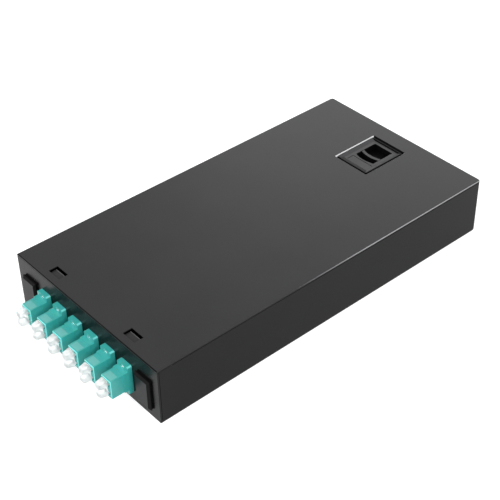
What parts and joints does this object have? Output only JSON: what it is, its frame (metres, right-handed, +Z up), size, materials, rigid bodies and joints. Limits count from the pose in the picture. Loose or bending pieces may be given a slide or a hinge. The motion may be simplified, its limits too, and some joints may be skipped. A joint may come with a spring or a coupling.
{
  "type": "fibre termination box",
  "caption": "Flat sheet-steel fibre termination box with duplex adapters in its front panel, a slide-latched swing lid and a splice tray inside.",
  "frame": {"origin": "middle of the box's underside, under the painted case without its adapters and glands", "axes": "+X across the front panel to its right, +Y from the front panel to the rear, +Z up"},
  "size_m": [0.135, 0.2915, 0.04],
  "materials": {
    "grey_paint": "satin",
    "bright_steel": "satin",
    "aqua_plastic": "satin",
    "ceramic": "gloss",
    "cap_plastic": "satin",
    "black_plastic": "matte",
    "seal_rubber": "matte",
    "latch_plastic": "satin",
    "tray_plastic": "satin"
  },
  "bodies": {
    "base": {"adapter_1": "aqua_plastic", "adapter_2": "aqua_plastic", "adapter_3": "aqua_plastic", "adapter_4": "aqua_plastic", "adapter_5": "aqua_plastic", "adapter_6": "aqua_plastic", "adapter_screws": "bright_steel", "alignment_sleeves": "ceramic", "anchor_bracket": "bright_steel", "base_tray": "grey_paint", "blanking_plug_left": "black_plastic", "blanking_plug_right": "black_plastic", "clamp_plate_left": "bright_steel", "clamp_plate_right": "bright_steel", "clamp_screws": "bright_steel", "earth_nut": "bright_steel", "earth_stud": "bright_steel", "fibre_guide_1": "tray_plastic", "fibre_guide_2": "tray_plastic", "fibre_guide_3": "tray_plastic", "fibre_guide_4": "tray_plastic", "gland_body_left": "black_plastic", "gland_body_right": "black_plastic", "gland_dome_nut_left": "black_plastic", "gland_dome_nut_right": "black_plastic", "gland_lock_nut_left": "black_plastic", "gland_lock_nut_right": "black_plastic", "gland_seal_left": "seal_rubber", "gland_seal_right": "seal_rubber", "splice_comb_left": "tray_plastic", "splice_comb_right": "tray_plastic", "splice_tray": "tray_plastic", "tray_screws": "bright_steel", "tray_standoffs": "bright_steel"},
    "lid": {"cover": "grey_paint", "latch_bezel": "latch_plastic", "latch_back_plate": "bright_steel", "latch_screws": "bright_steel", "latch_nuts": "bright_steel", "latch_spring": "bright_steel"},
    "slider": {"latch_slider": "latch_plastic"},
    "inner_cap_1_body": {"inner_cap_1": "cap_plastic"},
    "inner_cap_2_body": {"inner_cap_2": "cap_plastic"},
    "inner_cap_3_body": {"inner_cap_3": "cap_plastic"},
    "inner_cap_4_body": {"inner_cap_4": "cap_plastic"},
    "inner_cap_5_body": {"inner_cap_5": "cap_plastic"},
    "inner_cap_6_body": {"inner_cap_6": "cap_plastic"},
    "outer_cap_1_body": {"outer_cap_1": "cap_plastic"},
    "outer_cap_2_body": {"outer_cap_2": "cap_plastic"},
    "outer_cap_3_body": {"outer_cap_3": "cap_plastic"},
    "outer_cap_4_body": {"outer_cap_4": "cap_plastic"},
    "outer_cap_5_body": {"outer_cap_5": "cap_plastic"},
    "outer_cap_6_body": {"outer_cap_6": "cap_plastic"}
  },
  "joints": [
    {"name": "lid_hinge", "type": "hinge", "parent": "base", "child": "lid", "pos_m": [0, -0.13, 0.0388], "axis": [1, 0, 0], "range_deg": [0, 50]},
    {"name": "latch_slide", "type": "slide", "parent": "lid", "child": "slider", "axis": [0, -1, 0], "range_m": [0, 0.0046], "stiffness_N_per_m": 150, "springref_m": -0.003, "deforming": ["latch_spring"]},
    {"name": "inner_cap_1_pull", "type": "slide", "parent": "base", "child": "inner_cap_1_body", "axis": [0, 1, 0], "range_m": [0, 0.012]},
    {"name": "inner_cap_2_pull", "type": "slide", "parent": "base", "child": "inner_cap_2_body", "axis": [0, 1, 0], "range_m": [0, 0.012]},
    {"name": "inner_cap_3_pull", "type": "slide", "parent": "base", "child": "inner_cap_3_body", "axis": [0, 1, 0], "range_m": [0, 0.012]},
    {"name": "inner_cap_4_pull", "type": "slide", "parent": "base", "child": "inner_cap_4_body", "axis": [0, 1, 0], "range_m": [0, 0.012]},
    {"name": "inner_cap_5_pull", "type": "slide", "parent": "base", "child": "inner_cap_5_body", "axis": [0, 1, 0], "range_m": [0, 0.012]},
    {"name": "inner_cap_6_pull", "type": "slide", "parent": "base", "child": "inner_cap_6_body", "axis": [0, 1, 0], "range_m": [0, 0.012]},
    {"name": "outer_cap_1_pull", "type": "slide", "parent": "base", "child": "outer_cap_1_body", "axis": [0, -1, 0], "range_m": [0, 0.012]},
    {"name": "outer_cap_2_pull", "type": "slide", "parent": "base", "child": "outer_cap_2_body", "axis": [0, -1, 0], "range_m": [0, 0.012]},
    {"name": "outer_cap_3_pull", "type": "slide", "parent": "base", "child": "outer_cap_3_body", "axis": [0, -1, 0], "range_m": [0, 0.012]},
    {"name": "outer_cap_4_pull", "type": "slide", "parent": "base", "child": "outer_cap_4_body", "axis": [0, -1, 0], "range_m": [0, 0.012]},
    {"name": "outer_cap_5_pull", "type": "slide", "parent": "base", "child": "outer_cap_5_body", "axis": [0, -1, 0], "range_m": [0, 0.012]},
    {"name": "outer_cap_6_pull", "type": "slide", "parent": "base", "child": "outer_cap_6_body", "axis": [0, -1, 0], "range_m": [0, 0.012]}
  ]
}
